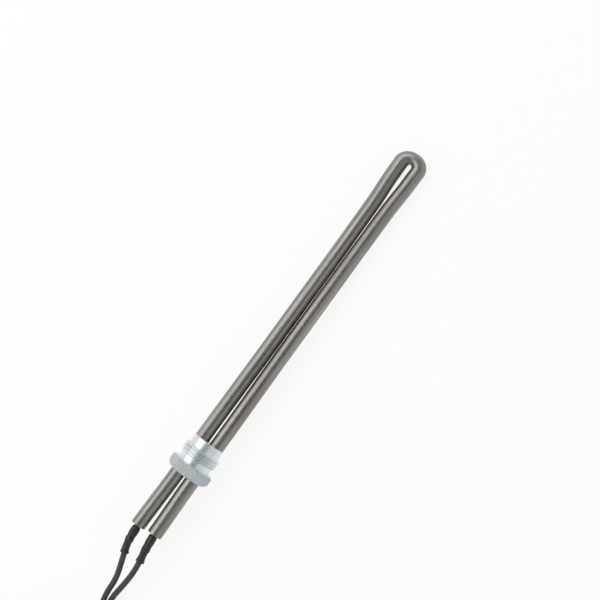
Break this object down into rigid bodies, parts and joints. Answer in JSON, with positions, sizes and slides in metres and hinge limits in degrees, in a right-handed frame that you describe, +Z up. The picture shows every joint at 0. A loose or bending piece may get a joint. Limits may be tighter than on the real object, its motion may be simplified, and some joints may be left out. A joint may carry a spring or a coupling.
{
  "type": "pellet stove igniter",
  "caption": "Hairpin tubular heating element in a threaded hex bushing, with spliced leads on its cold ends.",
  "frame": {"origin": "on the surface it lies on, under the middle of the element's length", "axes": "+X towards the bent tip, +Y from leg b to leg a, +Z up; the element leans 1.87 degrees, tip down, as it rests on its thread and its tip"},
  "size_m": [0.301, 0.0306, 0.0172],
  "materials": {
    "stainless_sheath": "drawn, satin",
    "zinc_plated_steel": "turned, bright zinc",
    "resistance_wire": "drawn",
    "magnesia": "packed powder",
    "pin_steel": "drawn",
    "resin_seal": "cast",
    "tinned_brass": "tinned",
    "copper_strand": "stranded",
    "heat_shrink": "shrunk",
    "lead_jacket": "extruded",
    "tie_nylon": "moulded"
  },
  "bodies": {
    "root": {"coil_tie": "tie_nylon", "conductor_a": "copper_strand", "conductor_b": "copper_strand", "end_seal_a": "resin_seal", "end_seal_b": "resin_seal", "heat_shrink_a": "heat_shrink", "heat_shrink_b": "heat_shrink", "heating_coil": "resistance_wire", "lead_a": "lead_jacket", "lead_a_tail": "lead_jacket", "lead_b": "lead_jacket", "lead_b_tail": "lead_jacket", "lead_coil": "lead_jacket", "magnesia_fill": "magnesia", "sheath": "stainless_sheath", "spade_terminal_a": "tinned_brass", "spade_terminal_b": "tinned_brass", "splice_crimp_a": "tinned_brass", "splice_crimp_b": "tinned_brass", "strand_end_a": "copper_strand", "strand_end_b": "copper_strand", "terminal_pin_a": "pin_steel", "terminal_pin_b": "pin_steel", "threaded_bushing": "zinc_plated_steel"}
  },
  "joints": []
}
